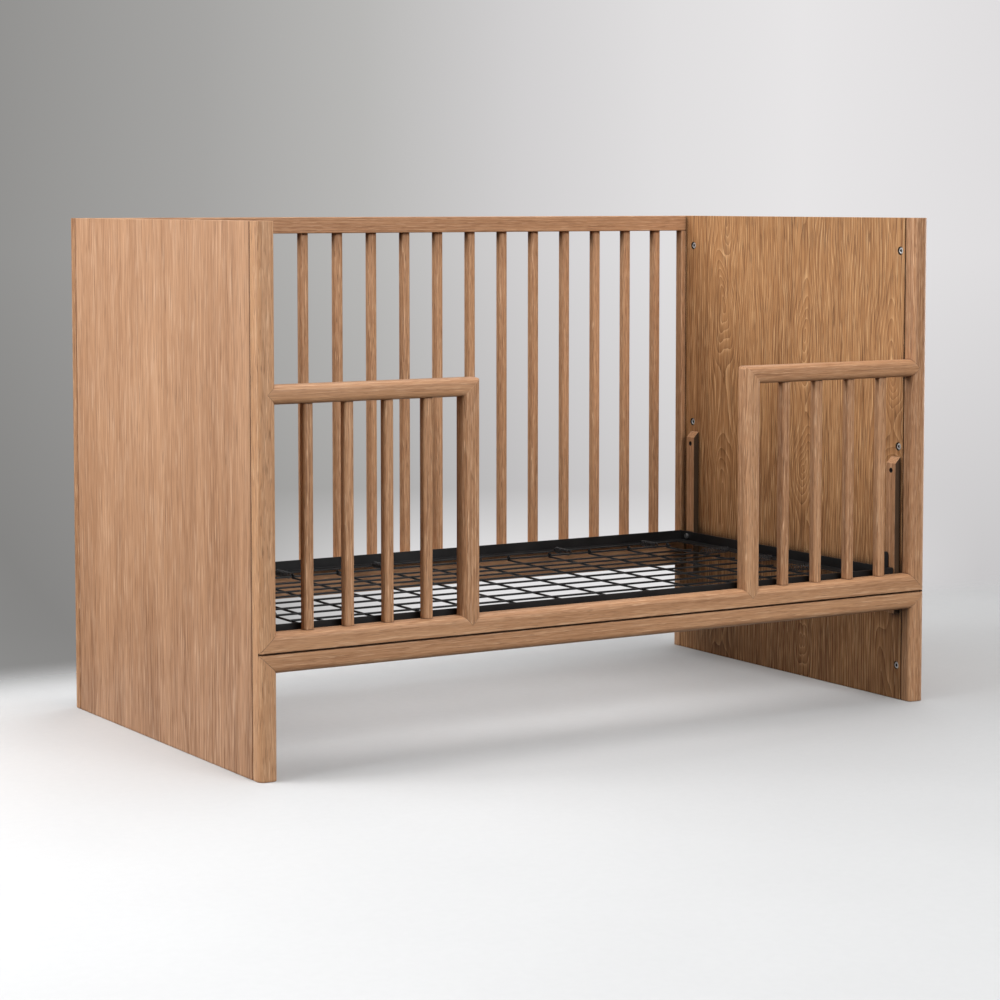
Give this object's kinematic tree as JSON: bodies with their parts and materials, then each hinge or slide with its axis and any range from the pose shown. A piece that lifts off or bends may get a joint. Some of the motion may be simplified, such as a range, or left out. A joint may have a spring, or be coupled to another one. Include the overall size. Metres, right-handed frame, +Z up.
{
  "type": "baby crib",
  "caption": "Oak-veneered baby crib in toddler-bed form: solid ends, slatted back, open front with short guard rails, steel mattress support with two height settings.",
  "frame": {"origin": "on the floor, midway between the outside faces of the two ends and midway between front and back", "axes": "+X along the bed to the right as seen from the open front, -Y towards the open front, +Z up"},
  "size_m": [1.4, 0.78, 0.914],
  "materials": {
    "oak": "satin",
    "black_steel": "semi-gloss",
    "bolt_steel": "satin"
  },
  "bodies": {
    "crib_frame": {"back_bottom_rail": "oak", "back_slat_01": "oak", "back_slat_02": "oak", "back_slat_03": "oak", "back_slat_04": "oak", "back_slat_05": "oak", "back_slat_06": "oak", "back_slat_07": "oak", "back_slat_08": "oak", "back_slat_09": "oak", "back_slat_10": "oak", "back_slat_11": "oak", "back_slat_12": "oak", "back_slat_13": "oak", "back_slat_14": "oak", "back_slat_15": "oak", "back_slat_16": "oak", "back_slat_17": "oak", "back_top_rail": "oak", "guard_bottom_rail": "oak", "left_back_cleat": "oak", "left_back_stile": "oak", "left_end_panel": "oak", "left_front_cleat": "oak", "left_front_post": "oak", "left_guard_post": "oak", "left_guard_slat_1": "oak", "left_guard_slat_2": "oak", "left_guard_slat_3": "oak", "left_guard_slat_4": "oak", "left_guard_top_rail": "oak", "left_rear_post": "oak", "lower_front_rail": "oak", "right_back_cleat": "oak", "right_back_stile": "oak", "right_end_panel": "oak", "right_front_cleat": "oak", "right_front_post": "oak", "right_guard_post": "oak", "right_guard_slat_1": "oak", "right_guard_slat_2": "oak", "right_guard_slat_3": "oak", "right_guard_slat_4": "oak", "right_guard_top_rail": "oak", "right_rear_post": "oak"},
    "mattress_support": {"left_back_bracket": "black_steel", "left_back_hang_bolt": "bolt_steel", "left_front_bracket": "black_steel", "left_front_hang_bolt": "bolt_steel", "right_back_bracket": "black_steel", "right_back_hang_bolt": "bolt_steel", "right_front_bracket": "black_steel", "right_front_hang_bolt": "bolt_steel", "support_frame": "black_steel", "support_mesh": "black_steel"}
  },
  "joints": [
    {"name": "support_height", "type": "slide", "parent": "crib_frame", "child": "mattress_support", "axis": [0, 0, 1], "range_m": [0, 0.1945]}
  ]
}
